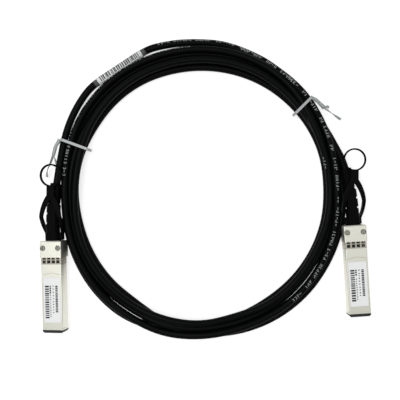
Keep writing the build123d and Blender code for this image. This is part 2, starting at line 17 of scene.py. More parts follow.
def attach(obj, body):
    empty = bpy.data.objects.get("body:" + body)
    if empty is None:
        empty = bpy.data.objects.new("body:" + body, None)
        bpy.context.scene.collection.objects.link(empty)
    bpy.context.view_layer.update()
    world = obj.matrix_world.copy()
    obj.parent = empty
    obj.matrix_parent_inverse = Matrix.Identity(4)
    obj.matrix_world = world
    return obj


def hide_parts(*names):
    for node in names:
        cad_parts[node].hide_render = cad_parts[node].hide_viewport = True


bl_info = {
    "name": "Coiled Plug Cable",
    "version": (1, 0, 0),
    "blender": (4, 2, 0),
    "location": "View3D > Sidebar > Cable",
    "description": "Draws a coiled cable with a plug at each end",
    "category": "Object",
}

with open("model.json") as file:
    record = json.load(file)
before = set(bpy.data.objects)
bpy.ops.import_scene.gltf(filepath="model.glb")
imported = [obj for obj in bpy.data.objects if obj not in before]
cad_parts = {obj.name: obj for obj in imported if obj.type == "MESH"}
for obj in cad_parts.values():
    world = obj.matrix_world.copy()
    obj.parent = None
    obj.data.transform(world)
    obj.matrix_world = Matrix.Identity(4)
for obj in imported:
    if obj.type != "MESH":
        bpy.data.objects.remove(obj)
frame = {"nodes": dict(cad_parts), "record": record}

# Where each plug lies, in metres and degrees: rear of its head, heading of its nose, roll, lift
PLUGS = {
    "a": ((-0.0943, -0.0001), -88.5, 12.0, 0.0032),
    "b": ((0.0922, 0.0096), -86.4, 0.0, 0.0019),
}
# Height of the boot's axis in a plug's own frame; it stays over the plug's line as the plug rolls
BOOT_AXIS = 0.0043

# The loose stretch of cable from plug A to where it meets the coil, and the two of its points that
# the wrapped label lies between
LEAD_A = [
    (-0.09203, 0.03514, 0.00808),
    (-0.0909, 0.0434, 0.0078),
    (-0.0896, 0.0520, 0.0066),
    (-0.0883, 0.0606, 0.0054),
    (-0.0862, 0.0695, 0.0046),
    (-0.0822, 0.0797, 0.0041),
    (-0.0767, 0.0893, 0.0037),
    (-0.0710, 0.0965, 0.0033),
    (-0.0635, 0.10145, 0.0032),
    (-0.0435, 0.11468, 0.0031),
    (-0.0360, 0.11963, 0.0030),
    (-0.0272, 0.1220, 0.0029),
    (-0.0151, 0.1239, 0.0028),
    (0.0000, 0.1240, 0.0026),
    (0.0115, 0.1228, 0.0025),
    (0.0222, 0.1194, 0.0024),
    (0.0310, 0.1155, 0.0027),
    (0.0395, 0.1108, 0.0037),
]
LABEL_RUN = (7, 10)

# The loose stretch from the coil to plug B
LEAD_B = [
    (0.0677, 0.0790, 0.0032),
    (0.0726, 0.0730, 0.0043),
    (0.0770, 0.0660, 0.0053),
    (0.0810, 0.0584, 0.0060),
    (0.0853, 0.0506, 0.0062),
    (0.08723, 0.04459, 0.0062),
]

# The coil: for each turn, its radius in millimetres every 15 degrees clockwise from 45. It is read
# off the photo where an edge, a gap or a crossing shows, and chosen to lie between elsewhere
COIL_CENTRE = (-0.00195, 0.0332)
COIL_START = 45.0
COIL_STEP = 15.0
TURN_RADII = [
    [85.5, 84.6, 83.1, 83.3, 85.8, 88.3, 90.0, 90.7, 90.6, 92.0, 93.9, 92.4]
    + [91.6, 89.4, 86.8, 84.8, 86.0, 87.1, 87.2, 86.7, 86.2, 85.9, 85.7, 84.7],
    [82.7, 78.7, 78.6, 79.6, 80.6, 80.6, 82.5, 84.0, 82.8, 84.8, 85.0, 85.4]
    + [84.7, 83.6, 81.2, 78.6, 78.3, 79.2, 79.4, 79.4, 79.2, 79.2, 79.3, 79.0],
    [78.5, 78.5, 81.2, 82.7, 83.5, 83.6, 85.3, 86.9, 86.9, 87.8, 88.6, 88.2]
    + [87.9, 86.7, 84.0, 82.2, 81.9, 81.1, 80.7, 80.3, 79.7, 79.5, 79.6, 80.0],
    [81.4, 81.3, 85.2, 88.2, 90.2, 91.5, 93.0, 93.5, 93.1, 91.2, 88.1, 83.3]
    + [82.6, 81.3, 80.1, 79.8, 79.0, 77.3, 77.1, 76.6, 75.6, 75.3, 75.5, 76.1],
    [76.8, 77.8, 78.5, 78.3, 79.8, 80.7, 81.6, 82.4, 84.6, 87.9, 91.8, 94.6]
    + [93.3, 90.8, 88.1, 85.6, 85.3, 84.8, 84.7, 84.3, 83.8, 83.6, 83.7, 84.1],
    [85.2],
]
# A spline drawn through control points lies this much inside them
SPLINE_RISE = 1.0086
# Strands that touch lie this share of the cable's diameter apart, and none lies higher than this
PACKING = 0.91
TOP_STRAND = 0.0099

# Ties, in metres: ends of the band over the coil, and the paths of the twisted tail and its legs
TIES = {
    "left": {
        "inner": (-0.0716, 0.0561),
        "outer": (-0.0897, 0.0627),
        "tail": [(-0.0902, 0.0622), (-0.0928, 0.0585), (-0.0945, 0.0535)],
        "legs": [
            [(-0.0945, 0.0535), (-0.0968, 0.0480), (-0.0990, 0.0435), (-0.0996, 0.0396)],
            [(-0.0945, 0.0535), (-0.0938, 0.0500), (-0.0931, 0.0470)],
        ],
    },
    "right": {
        "inner": (0.0553, 0.0782),
        "outer": (0.0660, 0.0889),
        "tail": [(0.0659, 0.0882), (0.0690, 0.0868), (0.0738, 0.0826)],
        "legs": [
            [(0.0738, 0.0826), (0.0785, 0.0797), (0.0822, 0.0775), (0.0853, 0.0758)],
            [(0.0738, 0.0826), (0.0762, 0.0836), (0.0778, 0.0834)],
        ],
    },
}

# The band of a tie: clearance over the table, radius of its corners, and steps in each corner
BAND_CLEARANCE = 0.0001
BAND_CORNER = 0.0018
CORNER_STEPS = 4

# The tail of a tie: how far it starts below the band, its fall from corner to corner, steps
# between corners, turn at each step in radians, reach of its two ribbons from the middle, and
# their thickness against that of the band
TAIL_DROP = 0.0016
TAIL_SLOPE = 0.0012
TAIL_STEPS = 10
TAIL_TWIST = 0.95
TAIL_REACH = 0.0008
TAIL_THICKENING = 1.3

# The legs of a tie: height of their ends, steps between corners, and their turn at the start and
# at each step in radians
LEG_END = 0.0022
LEG_STEPS = 8
LEG_START = 0.5
LEG_TWIST = 0.09

# The camera looks straight down; places in metres, lens in millimetres
CAMERA_PLACE = (-0.0032, 0.0251, 0.410)
CAMERA_LENS = 58.32

# Each lamp: place, side of its square, and power in watts. All face one point of the table
LAMPS = {
    "overhead": ((-0.30, 0.14, 0.90), 0.55, 4.2),
    "right": ((0.42, 0.10, 0.90), 0.35, 0.5),
}
LAMP_AIM = (0, 0.03, 0)

# The light of the world on the object; the floor: half its side, its drop and its grey
WORLD_LEVEL = 0.45
FLOOR_HALF = 3.0
FLOOR_DROP = 0.0002
FLOOR_GREY = 0.5
# The floor's own glow, only for rays that show it: white where it is lit, and a faint shadow
FLOOR_GLOW = 0.7

# How far print stands off the surface below it, and half the thickness of a mark on a flat label
PRINT_LIFT = 0.00003
FLAT_PRINT_LIFT = 0.00002

# The wrapped label: its film reaches this far into the jacket, and its tubes have so many sides
FILM_REACH = 0.0001
TUBE_SIDES = 40

# The clear sleeve: its wall, how far the rings at one end lie past the label, and how far the
# first two stand off the bare cable
SLEEVE_WALL = 0.00012
SLEEVE_PAST = (0.0027, 0.0012, 0.0002, -0.0008)
SLEEVE_LIP = 0.00035
SLEEVE_SHOULDER = 0.0004

# Rows of bars on the wrapped label: margin at either end, angles from the top, widths and gaps
LABEL_ROWS = [
    (0.0024, 0.0024, -74, 26, (0.0005, 0.0007, 0.0010), (0.00035, 0.00045, 0.0006)),
    (0.0020, 0.0016, 42, 57, (0.0003, 0.0005), (0.0004, 0.0004, 0.0009)),
]

# Rows of marks on a plug's label, in the plug's own frame: place across, start and end along,
# size across, length of a mark, gap; and the height of the label's face
PLUG_LABEL_ROWS = [
    (-0.0032, 0.0275, 0.0468, 0.0026, 0.00085, 0.0005),
    (-0.0010, 0.0275, 0.0315, 0.0010, 0.0008, 0.0004),
    (-0.0010, 0.0330, 0.0468, 0.0007, 0.0005, 0.0007),
    (0.0009, 0.0275, 0.0440, 0.0007, 0.0006, 0.0011),
    (0.0031, 0.0275, 0.0440, 0.0015, 0.0008, 0.0003),
]
PLUG_LABEL_FACE = 0.00837

# Printed runs on the jacket: start and end in turns of the coil, and degrees about the cable
PRINT_RUNS = [
    (-0.30, -0.12, -40.0),
    (-0.12, -0.02, -16.0),
    (-0.02, 0.272, -4.0),
    (0.635, 0.665, -8.0),
    (0.68, 0.86, -58.0),
    (1.09, 1.10, 50.0),
]

# A finish: spread of its roughness, and size of its mottling and depth of its relief, in grains
ROUGHNESS_SPREAD = 0.05
MOTTLE_GRAINS = 14
RELIEF_GRAINS = 0.125

# Share of the clear film that shines; the rest is seen through
FILM_SHINE = 0.05


def linear(colour):
    """The linear red, green, blue and alpha of an sRGB colour such as #1a1b1c."""
    parts = [int(colour[place : place + 2], 16) / 255 for place in (1, 3, 5)]
    bent = [v / 12.92 if v <= 0.04045 else ((v + 0.055) / 1.055) ** 2.4 for v in parts]
    return (*bent, 1.0)


def colour_property(name, description, colour):
    """A colour in the sidebar, given as an sRGB hex."""
    return FloatVectorProperty(
        name=name, description=description, subtype="COLOR", size=4, min=0, max=1, default=linear(colour)
    )


def length_property(name, description, millimetres):
    """A length in the sidebar, given in millimetres."""
    return FloatProperty(
        name=name, description=description, unit="LENGTH", default=millimetres / 1000, min=0, precision=5
    )


class CableSizes(bpy.types.PropertyGroup):
    """Sizes of the drawn pieces."""

    cable: length_property("Cable", "Diameter of the cable", 4.6)
    wrap: length_property("Label", "Diameter of the wrapped label", 5.2)
    sleeve: length_property("Sleeve", "Diameter of the clear sleeve", 5.7)
    wrap_length: length_property("Label Length", "Length of the wrapped label", 32.5)
    glyph_pitch: length_property("Mark Pitch", "Distance between printed marks", 2.0)
    glyph_height: length_property("Mark Height", "Height of the printed marks", 1.8)
    glyph_stroke: length_property("Mark Stroke", "Width of one printed stroke", 0.3)
    tie_width: length_property("Tie Width", "Width of the tie ribbon", 1.6)
    tie_thickness: length_property("Tie Thickness", "Thickness of the tie ribbon", 0.45)
    seed: IntProperty(name="Seed", description="Seed of the printed marks", default=7, min=0)


class CableColours(bpy.types.PropertyGroup):
    """Colours of the finishes."""

    jacket: colour_property("Jacket", "Cable jacket", "#040505")
    ink: colour_property("Ink", "Marks printed on the jacket", "#b3b7b7")
    shell: colour_property("Shell", "Plated cast shells", "#e2e2d6")
    collar: colour_property("Collar", "Spring collar", "#b5b1a6")
    steel: colour_property("Steel", "Stamped slider", "#a9a9a6")
    screw: colour_property("Screw", "Screws", "#96958d")
    # Real black of the boots, and painted shade on the nose guide, which darkens the plug's nose where
    # only shade falls
    moulding_and_nose_shade: colour_property("Moulding", "Nose guide and boots", "#030304")
    tab: colour_property("Pull Tab", "Pull tabs", "#040404")
    board: colour_property("Card", "Circuit card", "#0d2617")
    gold: colour_property("Gold", "Card contacts", "#d9a441")
    film: colour_property("Label", "Printed film of the labels", "#f4f5f5")
    bars: colour_property("Bars", "Bars printed on the labels", "#1f2123")
    tie: colour_property("Tie", "Tie ribbon", "#a9aeae")


def add_node(material, kind, inputs=None, **settings):
    """Adds a shader node, sets it up, and sets or links its inputs."""
    made = material.node_tree.nodes.new(kind)
    for name, value in settings.items():
        setattr(made, name, value)
    for name, value in (inputs or {}).items():
        if isinstance(value, bpy.types.NodeSocket):
            material.node_tree.links.new(value, made.inputs[name])
        else:
            made.inputs[name].default_value = value
    return made


def blank_material(name):
    """A material with a plain shader; a name in use is taken over, so that no finish is made twice."""
    material = bpy.data.materials.get(name) or bpy.data.materials.new(name)
    material.use_nodes = True
    material.node_tree.nodes.clear()
    shader = add_node(material, "ShaderNodeBsdfPrincipled")
    add_node(material, "ShaderNodeOutputMaterial", {"Surface": shader.outputs[0]})
    return material, shader


def per_metre(millimetres):
    """The texture scale of a pattern whose features are that many millimetres."""
    return 1000.0 / millimetres


def finish(name, colour, roughness, grain, relief, spread=0.08, metallic=0.0):
    """A procedural finish whose grain, in millimetres, moves its colour, roughness and surface."""
    material, shader = blank_material(name)
    place = add_node(material, "ShaderNodeTexCoord")
    fine = add_node(
        material,
        "ShaderNodeTexNoise",
        {"Vector": place.outputs["Object"], "Scale": per_metre(grain), "Detail": 4.0},
    )
    broad = add_node(
        material,
        "ShaderNodeTexNoise",
        {"Vector": place.outputs["Object"], "Scale": per_metre(MOTTLE_GRAINS * grain), "Detail": 2.0},
    )
    darker = tuple(c * (1 - spread) for c in colour[:3]) + (1.0,)
    lighter = tuple(min(1.0, c * (1 + spread)) for c in colour[:3]) + (1.0,)
    tone = add_node(
        material,
        "ShaderNodeMix",
        {"Factor": broad.outputs[0], "A": darker, "B": lighter},
        data_type="RGBA",
    )
    material.node_tree.links.new(tone.outputs["Result"], shader.inputs["Base Color"])
    rough = add_node(
        material,
        "ShaderNodeMapRange",
        {
            "Value": fine.outputs[0],
            "To Min": roughness - ROUGHNESS_SPREAD,
            "To Max": roughness + ROUGHNESS_SPREAD,
        },
    )
    material.node_tree.links.new(rough.outputs[0], shader.inputs["Roughness"])
    bump = add_node(
        material,
        "ShaderNodeBump",
        {"Height": fine.outputs[0], "Strength": relief, "Distance": RELIEF_GRAINS * grain / 1000},
    )
    material.node_tree.links.new(bump.outputs[0], shader.inputs["Normal"])
    shader.inputs["Metallic"].default_value = metallic
    return material, shader


def make_materials(colours):
    """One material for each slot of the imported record, and those of the pieces drawn here."""
    made = {}
    # zinc alloy, die-cast and satin nickel plated
    made["cast_shell"], _ = finish("Nickel Plated Zinc Cast", colours.shell, 0.42, 0.35, 0.25, 0.03, 1.0)
    # stainless strip, stamped
    made["spring_steel"], _ = finish("Stainless Strip Stamped", colours.collar, 0.36, 0.2, 0.1, 0.05, 1.0)
    # stainless sheet, stamped
    made["slider_steel"], _ = finish("Stainless Sheet Stamped", colours.steel, 0.4, 0.25, 0.15, 0.05, 1.0)
    # nickel plated steel, turned
    made["screw_steel"], _ = finish("Nickel Steel Turned", colours.screw, 0.35, 0.15, 0.1, 0.04, 1.0)
    # glass filled nylon, injection moulded; on the nose guide its black is painted shade, standing for
    # the shade inside the plug's nose
    made["black_moulding"], _ = finish("Glass Nylon Painted Nose Shade", colours.moulding_and_nose_shade, 0.5, 0.3, 0.3, 0.1)
    # elastomer, overmoulded
    made["boot_moulding"], boot = finish(
        "Elastomer Overmoulded", colours.moulding_and_nose_shade, 0.55, 0.4, 0.2, 0.1
    )
    boot.inputs["Specular IOR Level"].default_value = 0.05
    # polypropylene, injection moulded
    made["tab_moulding"], tab = finish("Polypropylene Moulded", colours.tab, 0.5, 0.4, 0.15, 0.1)
    tab.inputs["Specular IOR Level"].default_value = 0.05
    # epoxy glass laminate with solder mask, milled
    made["circuit_card"], _ = finish("Epoxy Laminate Milled", colours.board, 0.3, 0.2, 0.1, 0.1)
    # hard gold, plated
    made["gold_contact"], _ = finish("Hard Gold Plated", colours.gold, 0.25, 0.1, 0.05, 0.03, 1.0)
    # polyester film, printed
    made["plug_label"], _ = finish("Polyester Film Printed", colours.film, 0.35, 0.5, 0.05, 0.02)
    made["cable_label"] = made["plug_label"]
    # plasticised vinyl, extruded
    made["cable_jacket"], jacket = finish(
        "Vinyl Jacket Extruded", colours.jacket, 0.46, 0.5, 0.12, 0.12
    )
    jacket.inputs["Specular IOR Level"].default_value = 0.06
    # vinyl ribbon round a wire, extruded
    made["tie_plastic"], _ = finish("Vinyl Ribbon Extruded", colours.tie, 0.38, 0.4, 0.15, 0.03)
    # pigment ink, printed
    made["ink"], _ = finish("Pigment Ink Printed", colours.ink, 0.6, 0.3, 0.1, 0.05)
    # thermal ribbon ink, printed
    made["bars"], _ = finish("Ribbon Ink Printed", colours.bars, 0.55, 0.3, 0.1, 0.05)
    made["clear_sleeve"] = clear_film("Polyolefin Film Shrunk")
    return made


def clear_film(name):
    """A clear shrunk film: mostly seen through, with a soft shine."""
    material, shader = finish(name, (0.92, 0.93, 0.94, 1.0), 0.18, 0.8, 0.3, 0.02)
    tree = material.node_tree
    clear = add_node(material, "ShaderNodeBsdfTransparent")
    mixed = add_node(material, "ShaderNodeMixShader", {"Fac": FILM_SHINE})
    tree.links.new(clear.outputs[0], mixed.inputs[1])
    tree.links.new(shader.outputs[0], mixed.inputs[2])
    tree.links.new(mixed.outputs[0], tree.nodes["Material Output"].inputs["Surface"])
    return material


def mesh_object(name, vertices, faces, material, smooth=True):
    """A mesh object of its own, with its faces all turned outwards."""
    mesh = bpy.data.meshes.new(name)
    mesh.from_pydata([tuple(v) for v in vertices], [], faces)
    work = bmesh.new()
    work.from_mesh(mesh)
    bmesh.ops.recalc_face_normals(work, faces=work.faces)
    work.to_mesh(mesh)
    work.free()
    for face in mesh.polygons:
        face.use_smooth = smooth
    mesh.materials.append(material)
    made = bpy.data.objects.new(name, mesh)
    bpy.context.scene.collection.objects.link(made)
    return made


def turn_heights(diameter):
    """The height of each turn at each step: the last lies lowest, and each rests on those below."""
    touch = PACKING * diameter
    heights = [[] for _ in TURN_RADII]
    for step in range(len(TURN_RADII[0])):
        below = []
        for turn in reversed(range(len(TURN_RADII))):
            if step >= len(TURN_RADII[turn]):
                continue
            radius = TURN_RADII[turn][step] / 1000
            height = diameter / 2
            for other, level in below:
                if abs(radius - other) < touch:
                    height = max(height, level + math.sqrt(touch**2 - (radius - other) ** 2))
            below.append((radius, min(height, TOP_STRAND)))
            heights[turn].append(min(height, TOP_STRAND))
    return heights


def cable_points(diameter):
    """The control points of the whole run, from the boot of plug A to the boot of plug B."""
    points = [Vector(p) for p in LEAD_A]
    angle = COIL_START
    for radii, heights in zip(TURN_RADII, turn_heights(diameter)):
        for radius, height in zip(radii, heights):
            across = radius * SPLINE_RISE / 1000
            turn = math.radians(angle)
            x = COIL_CENTRE[0] + across * math.cos(turn)
            y = COIL_CENTRE[1] + across * math.sin(turn)
            points.append(Vector((x, y, height)))
            angle -= COIL_STEP
    points.extend(Vector(p) for p in LEAD_B)
    return points


def cable_curve(sizes, material):
    """The whole run as one round bevelled spline, open at both ends."""
    curve = bpy.data.curves.new("cable", "CURVE")
    curve.dimensions = "3D"
    curve.resolution_u = 6
    curve.bevel_resolution = 5
    curve.bevel_depth = sizes.cable / 2
    curve.use_fill_caps = True
    spline = curve.splines.new("NURBS")
    points = cable_points(sizes.cable)
    spline.points.add(len(points) - 1)
    for control, point in zip(spline.points, points):
        control.co = (*point, 1.0)
    spline.order_u = 3
    spline.use_endpoint_u = True
    curve.materials.append(material)
    cable = bpy.data.objects.new("cable", curve)
    bpy.context.scene.collection.objects.link(cable)
    return cable


def cable_line(curve_object):
    """The centreline of a drawn cable, as points in order, and the length up to each of them."""
    depth = curve_object.data.bevel_depth
    curve_object.data.bevel_depth = 0
    shape = curve_object.evaluated_get(bpy.context.evaluated_depsgraph_get())
    mesh = shape.to_mesh()
    points = [v.co.copy() for v in mesh.vertices]
    shape.to_mesh_clear()
    curve_object.data.bevel_depth = depth
    lengths = [0.0]
    for before, after in zip(points, points[1:]):
        lengths.append(lengths[-1] + (after - before).length)
    return points, lengths


def place_on(points, lengths, along):
    """The point at a length along a line, and the direction there."""
    along = min(max(along, 0.0), lengths[-1] - 1e-6)
    low, high = 0, len(lengths) - 1
    while high - low > 1:
        middle = (low + high) // 2
        if lengths[middle] > along:
            high = middle
        else:
            low = middle
    share = (along - lengths[low]) / (lengths[high] - lengths[low])
    direction = (points[high] - points[low]).normalized()
    return points[low].lerp(points[high], share), direction


def length_at_turn(lengths, turns):
    """The length of cable up to so many turns of the coil from its start."""
    controls = len(LEAD_A) + sum(len(radii) for radii in TURN_RADII) + len(LEAD_B)
    control = len(LEAD_A) + turns * 360 / COIL_STEP
    share = (control - 0.5) / (controls - 2)
    return lengths[round(share * (len(lengths) - 1))]


def wrapped_patch(vertices, faces, centre, along, radius, start, end, half_width):
    """A thin raised patch that follows a round surface between two angles from the top."""
    side = along.cross(Vector((0, 0, 1))).normalized()
    top = side.cross(along)
    steps = max(2, math.ceil(abs(end - start) / 12))
    first = len(vertices)
    for step in range(steps + 1):
        angle = math.radians(start + (end - start) * step / steps)
        out = top * math.cos(angle) + side * math.sin(angle)
        for reach in (radius - PRINT_LIFT, radius + PRINT_LIFT):
            for way in (-1, 1):
                vertices.append(centre + out * reach + along * (half_width * way))
    for step in range(steps):
        a = first + 4 * step
        b = a + 4
        faces += [(a, a + 1, b + 1, b), (a + 2, b + 2, b + 3, a + 3)]
        faces += [(a, b, b + 2, a + 2), (a + 1, a + 3, b + 3, b + 1)]
    last = first + 4 * steps
    faces += [(first, first + 2, first + 3, first + 1), (last, last + 1, last + 3, last + 2)]


# Strokes of one printed mark: place along the cable, in strokes, and low and high ends, in halves
MARKS = [
    [(0, -1, 1), (3, -1, 1)],
    [(0, -1, 1), (2, 0.5, 1), (2, -1, -0.5)],
    [(1.5, -1, 1)],
    [(0, 0, 1), (2.4, -1, 1)],
    [(0, -1, 1), (2, -0.25, 0.25), (4, -1, 0)],
    [(0, -0.25, 0.25), (1.6, -0.25, 0.25), (3.2, -0.25, 0.25)],
]


def jacket_print(line, sizes, material):
    """Words of plain printed ticks along the jacket, where they face up."""
    points, lengths = line
    chance = random.Random(sizes.seed)
    vertices, faces = [], []
    radius = sizes.cable / 2
    stroke = sizes.glyph_stroke
    half_angle = math.degrees(sizes.glyph_height / 2 / radius)
    for start, end, lean in PRINT_RUNS:
        along = length_at_turn(lengths, start)
        stop = length_at_turn(lengths, end)
        while along < stop:
            for letter in range(chance.randint(2, 6)):
                for shift, low, high in chance.choice(MARKS):
                    centre, direction = place_on(points, lengths, along + shift * stroke)
                    wrapped_patch(
                        vertices,
                        faces,
                        centre,
                        direction,
                        radius,
                        lean + low * half_angle,
                        lean + high * half_angle,
                        stroke / 2,
                    )
                along += sizes.glyph_pitch
            along += chance.uniform(0.8, 2.2) * sizes.glyph_pitch
    return mesh_object("jacket_print", vertices, faces, material)


def turned_tube(name, rings, material, middle, along):
    """A closed tube wall along a straight line, from rings of place, inner and outer radius."""
    side = along.cross(Vector((0, 0, 1))).normalized()
    top = side.cross(along)
    vertices, faces = [], []
    profile = [(place, outer) for place, inner, outer in rings]
    profile += [(place, inner) for place, inner, outer in reversed(rings)]
    for place, radius in profile:
        for step in range(TUBE_SIDES):
            angle = 2 * math.pi * step / TUBE_SIDES
            out = top * math.cos(angle) + side * math.sin(angle)
            vertices.append(middle + along * place + out * radius)
    for ring in range(len(profile)):
        a = ring * TUBE_SIDES
        b = ((ring + 1) % len(profile)) * TUBE_SIDES
        for step in range(TUBE_SIDES):
            after = (step + 1) % TUBE_SIDES
            faces.append((a + step, a + after, b + after, b + step))
    return mesh_object(name, vertices, faces, material)


def sleeve_rings(sizes):
    """The wall of the sleeve: shrunk on the bare cable at both ends, round the label between."""
    half, bare, sleeve = sizes.wrap_length / 2, sizes.cable / 2, sizes.sleeve / 2
    outside = (bare + SLEEVE_LIP, bare + SLEEVE_SHOULDER, sleeve - SLEEVE_WALL, sleeve)
    rings = [(-half - past, out - SLEEVE_WALL, out) for past, out in zip(SLEEVE_PAST, outside)]
    return rings + [(-place, inner, outer) for place, inner, outer in reversed(rings)]


def label_bars(middle, along, sizes, material):
    """Plain bars across the wrapped label, in rows."""
    chance = random.Random(sizes.seed + 4)
    half, radius = sizes.wrap_length / 2, sizes.wrap / 2
    vertices, faces = [], []
    for before, after, start, end, widths, gaps in LABEL_ROWS:
        place = before - half
        while place < half - after:
            width = chance.choice(widths)
            centre = middle + along * place
            wrapped_patch(vertices, faces, centre, along, radius, start, end, width / 2)
            place += width + chance.choice(gaps)
    return mesh_object("cable_label_bars", vertices, faces, material)


def label_pieces(sizes, finishes):
    """The wrapped label with plain printed bars, and the clear sleeve shrunk over it."""
    start, end = (Vector(LEAD_A[place]) for place in LABEL_RUN)
    middle = (start + end) / 2
    along = (end - start).normalized()
    half = sizes.wrap_length / 2
    inner, outer = sizes.cable / 2 - FILM_REACH, sizes.wrap / 2
    rings = [(-half, inner, outer), (half, inner, outer)]
    film = turned_tube("cable_label_film", rings, finishes["cable_label"], middle, along)
    rings = sleeve_rings(sizes)
    shrunk = turned_tube("label_sleeve_film", rings, finishes["clear_sleeve"], middle, along)
    bars = label_bars(middle, along, sizes, finishes["bars"])
    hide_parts("cable_label")
    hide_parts("label_sleeve")
    return [film, bars, shrunk]


def strap(vertices, faces, path, sides, width, thickness, closed=False):
    """A flat ribbon along a path, its width along the side given at each point."""
    first = len(vertices)
    count = len(path)
    for place, (point, side) in enumerate(zip(path, sides)):
        before = path[(place - 1) % count] if closed or place else path[0]
        after = path[(place + 1) % count] if closed or place < count - 1 else path[-1]
        along = (after - before).normalized()
        side = (side - along * side.dot(along)).normalized()
        out = along.cross(side)
        for u, v in ((-1, -1), (1, -1), (1, 1), (-1, 1)):
            vertices.append(point + side * (u * width / 2) + out * (v * thickness / 2))
    spans = count if closed else count - 1
    for span in range(spans):
        a = first + 4 * span
        b = first + 4 * ((span + 1) % count)
        for corner in range(4):
            following = (corner + 1) % 4
            faces.append((a + corner, a + following, b + following, b + corner))
    if not closed:
        last = first + 4 * (count - 1)
        faces.append((first, first + 1, first + 2, first + 3))
        faces.append((last, last + 3, last + 2, last + 1))


def smooth_path(corners, steps):
    """Points of a smooth line through corners, with the first and last kept."""
    padded = [corners[0] * 2 - corners[1], *corners, corners[-1] * 2 - corners[-2]]
    path = []
    for a, b, c, d in zip(padded, padded[1:], padded[2:], padded[3:]):
        for step in range(steps):
            t = step / steps
            square = 2 * a - 5 * b + 4 * c - d
            cube = 3 * b - 3 * c + d - a
            path.append(0.5 * (2 * b + (c - a) * t + square * t**2 + cube * t**3))
    path.append(corners[-1])
    return path


def bundle_top(points, inner, outer, reach):
    """How high the centreline of the cable runs under a band from inner to outer."""
    span = outer - inner
    top = 0.0
    for point in points:
        flat = Vector((point.x, point.y, 0)) - inner
        share = flat.dot(span) / span.length_squared
        if 0 <= share <= 1 and (flat - span * share).length < reach:
            top = max(top, point.z)
    return top


def band_loop(inner, outer, low, top):
    """The closed loop of a band round the bundle, upright over the line from inner to outer."""
    reach = (outer - inner).length
    out = (outer - inner).normalized()
    loop = []
    for u, z, start in ((reach, top, 90), (reach, low, 0), (0, low, -90), (0, top, -180)):
        centre_u = u - BAND_CORNER if u else BAND_CORNER
        centre_z = z - BAND_CORNER if z == top else z + BAND_CORNER
        for step in range(CORNER_STEPS + 1):
            angle = math.radians(start - 90 * step / CORNER_STEPS)
            spot = inner + out * (centre_u + BAND_CORNER * math.cos(angle))
            spot.z = centre_z + BAND_CORNER * math.sin(angle)
            loop.append(spot)
    return loop


def level_and_up(path, place):
    """The level side and the upper side of a path at one of its points."""
    along = (path[min(place + 1, len(path) - 1)] - path[max(place - 1, 0)]).normalized()
    level = along.cross(Vector((0, 0, 1))).normalized()
    return level, level.cross(along)


def falling(places, start, fall):
    """Corners over the given places, each lower than the one before."""
    return [Vector((x, y, start - fall * n)) for n, (x, y) in enumerate(places)]


def tie_piece(name, tie, points, sizes, material):
    """A tie: a ribbon round the bundle, twisted into a tail that opens into two legs."""
    inner, outer = Vector((*tie["inner"], 0)), Vector((*tie["outer"], 0))
    side = (outer - inner).normalized().cross(Vector((0, 0, 1)))
    width, thickness = sizes.tie_width, sizes.tie_thickness
    low = thickness / 2 + BAND_CLEARANCE
    top = bundle_top(points, inner, outer, 2 * width) + (sizes.cable + thickness) / 2
    vertices, faces = [], []
    loop = band_loop(inner, outer, low, top)
    strap(vertices, faces, loop, [side] * len(loop), width, thickness, True)
    height = top - TAIL_DROP
    tail = smooth_path(falling(tie["tail"], height, TAIL_SLOPE), TAIL_STEPS)
    for half in (0, math.pi):
        path, sides = [], []
        for place, point in enumerate(tail):
            level, up = level_and_up(tail, place)
            angle = half + place * TAIL_TWIST
            path.append(point + (level * math.cos(angle) + up * math.sin(angle)) * TAIL_REACH)
            sides.append(level * math.cos(angle + math.pi / 2) + up * math.sin(angle + math.pi / 2))
        strap(vertices, faces, path, sides, width, thickness * TAIL_THICKENING)
    start = height - TAIL_SLOPE * (len(tie["tail"]) - 1)
    for number, leg in enumerate(tie["legs"]):
        fall = (start - LEG_END) / (len(leg) - 1)
        path = smooth_path(falling(leg, start, fall), LEG_STEPS)
        sides = []
        for place in range(len(path)):
            level, up = level_and_up(path, place)
            angle = LEG_START + number + LEG_TWIST * place
            sides.append(level * math.cos(angle) + up * math.sin(angle))
        strap(vertices, faces, path, sides, width, thickness)
    return mesh_object(name, vertices, faces, material, smooth=False)


def plug_matrix(key):
    """From a plug's own frame, in metres, to where it lies."""
    (x, y), heading, roll, lift = PLUGS[key]
    turn = Matrix.Rotation(math.radians(heading), 4, "Z")
    side = BOOT_AXIS * math.sin(math.radians(roll))
    tip = Matrix.Translation((0, side, 0)) @ Matrix.Rotation(math.radians(roll), 4, "X")
    return Matrix.Translation((x, y, lift)) @ turn @ tip


def flat_bar(vertices, faces, place, x, y, length, width):
    """A thin bar on the face of a plug's label, in the plug's own frame."""
    first = len(vertices)
    for z in (PLUG_LABEL_FACE - FLAT_PRINT_LIFT, PLUG_LABEL_FACE + FLAT_PRINT_LIFT):
        for u, v in ((-1, -1), (1, -1), (1, 1), (-1, 1)):
            vertices.append(place @ Vector((x + u * length / 2, y + v * width / 2, z)))
    faces.append(tuple(first + n for n in (3, 2, 1, 0)))
    faces.append(tuple(first + n for n in (4, 5, 6, 7)))
    for n in range(4):
        m = (n + 1) % 4
        faces.append((first + n, first + m, first + 4 + m, first + 4 + n))


def plug_label_print(key, sizes, material):
    """Plain bars and ticks on the label of a plug, in rows along it."""
    chance = random.Random(sizes.seed + ord(key))
    place = plug_matrix(key)
    vertices, faces = [], []
    for across, start, end, width, mark, gap in PLUG_LABEL_ROWS:
        x = start
        while x < end:
            length = mark * chance.uniform(0.7, 1.3)
            flat_bar(vertices, faces, place, x + length / 2, across, length, width)
            x += length + gap * chance.uniform(0.8, 1.3)
    return mesh_object(f"plug_label_print_{key}", vertices, faces, material, smooth=False)


